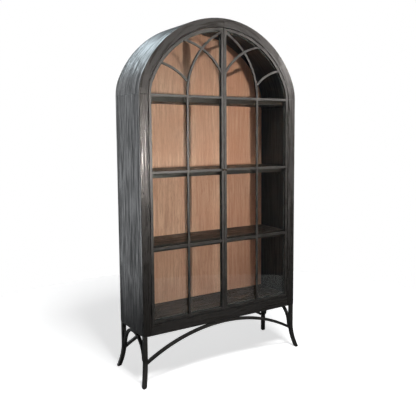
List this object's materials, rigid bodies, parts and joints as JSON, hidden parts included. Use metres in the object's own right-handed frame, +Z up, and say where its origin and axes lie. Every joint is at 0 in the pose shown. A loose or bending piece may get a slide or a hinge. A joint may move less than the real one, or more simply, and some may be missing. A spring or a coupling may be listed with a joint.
{
  "type": "curio cabinet",
  "caption": "Tall arched-top display cabinet in black brushed wood with glazed iron doors, gothic tracery, shelves and an open iron base with sabre legs.",
  "frame": {"origin": "on the floor, midway between the outermost points of the feet in X and in Y", "axes": "+Z up, the longest extent; +X to the right as the doors are faced; +Y from the doors to the back, the shortest extent"},
  "size_m": [1.164, 0.416, 2.1762],
  "materials": {
    "black_oak_brushed": "black stained, wire-brushed open-grain oak with a satin lacquer",
    "black_oak_liner": "black stained oak veneer, satin",
    "dark_stained_oak": "dark brown stained oak, satin",
    "natural_oak_veneer": "natural warm tan oak veneer with vertical grain, matt lacquer",
    "black_iron_doors": "welded iron flat bar and square tube, rubbed black paint, satin",
    "black_steel_bead": "black painted steel glazing bead, satin",
    "clear_float_glass": "clear 4 mm float glass",
    "blackened_brass": "blackened turned brass, satin",
    "black_hinge_steel": "blackened steel butt hinge",
    "black_iron_base": "bent and welded square iron bar, black powder coat, satin",
    "black_plastic_catch": "moulded black plastic magnetic catch",
    "black_nylon": "moulded black nylon glide"
  },
  "bodies": {
    "cabinet": {"stile_left": "black_oak_brushed", "stile_right": "black_oak_brushed", "head_left": "black_oak_brushed", "head_right": "black_oak_brushed", "bottom_rail": "black_oak_brushed", "side_panel_left": "black_oak_brushed", "side_panel_right": "black_oak_brushed", "crown_skin": "black_oak_brushed", "rear_frame": "black_oak_brushed", "side_liner_left": "black_oak_liner", "side_liner_right": "black_oak_liner", "crown_liner": "black_oak_liner", "shelf_cleat_upper_left": "black_oak_liner", "shelf_cleat_upper_right": "black_oak_liner", "shelf_cleat_middle_left": "black_oak_liner", "shelf_cleat_middle_right": "black_oak_liner", "shelf_cleat_lower_left": "black_oak_liner", "shelf_cleat_lower_right": "black_oak_liner", "bottom_board": "dark_stained_oak", "shelf_upper": "dark_stained_oak", "shelf_middle": "dark_stained_oak", "shelf_lower": "dark_stained_oak", "back_panel": "natural_oak_veneer", "hinge_left_top_frame_leaf": "black_hinge_steel", "hinge_left_middle_frame_leaf": "black_hinge_steel", "hinge_left_bottom_frame_leaf": "black_hinge_steel", "hinge_right_top_frame_leaf": "black_hinge_steel", "hinge_right_middle_frame_leaf": "black_hinge_steel", "hinge_right_bottom_frame_leaf": "black_hinge_steel", "base_flat_frame": "black_iron_base", "leg_front_left": "black_iron_base", "leg_front_right": "black_iron_base", "leg_rear_left": "black_iron_base", "leg_rear_right": "black_iron_base", "stretcher_front": "black_iron_base", "stretcher_rear": "black_iron_base", "stretcher_left": "black_iron_base", "stretcher_right": "black_iron_base", "magnetic_catch": "black_plastic_catch", "glide_front_left": "black_nylon", "glide_front_right": "black_nylon", "glide_rear_left": "black_nylon", "glide_rear_right": "black_nylon"},
    "door_left": {"door_frame_left": "black_iron_doors", "glass_stop_left": "black_steel_bead", "door_glass_left": "clear_float_glass", "knob_left": "blackened_brass", "hinge_left_top_door_leaf": "black_hinge_steel", "hinge_left_middle_door_leaf": "black_hinge_steel", "hinge_left_bottom_door_leaf": "black_hinge_steel"},
    "door_right": {"door_frame_right": "black_iron_doors", "glass_stop_right": "black_steel_bead", "door_glass_right": "clear_float_glass", "knob_right": "blackened_brass", "hinge_right_top_door_leaf": "black_hinge_steel", "hinge_right_middle_door_leaf": "black_hinge_steel", "hinge_right_bottom_door_leaf": "black_hinge_steel"}
  },
  "joints": [
    {"name": "door_left_hinge", "type": "hinge", "parent": "cabinet", "child": "door_left", "pos_m": [-0.5034, -0.1797, 1.01], "axis": [0, 0, -1], "range_deg": [0, 110]},
    {"name": "door_right_hinge", "type": "hinge", "parent": "cabinet", "child": "door_right", "pos_m": [0.5034, -0.1797, 1.01], "axis": [0, 0, 1], "range_deg": [0, 110]}
  ]
}
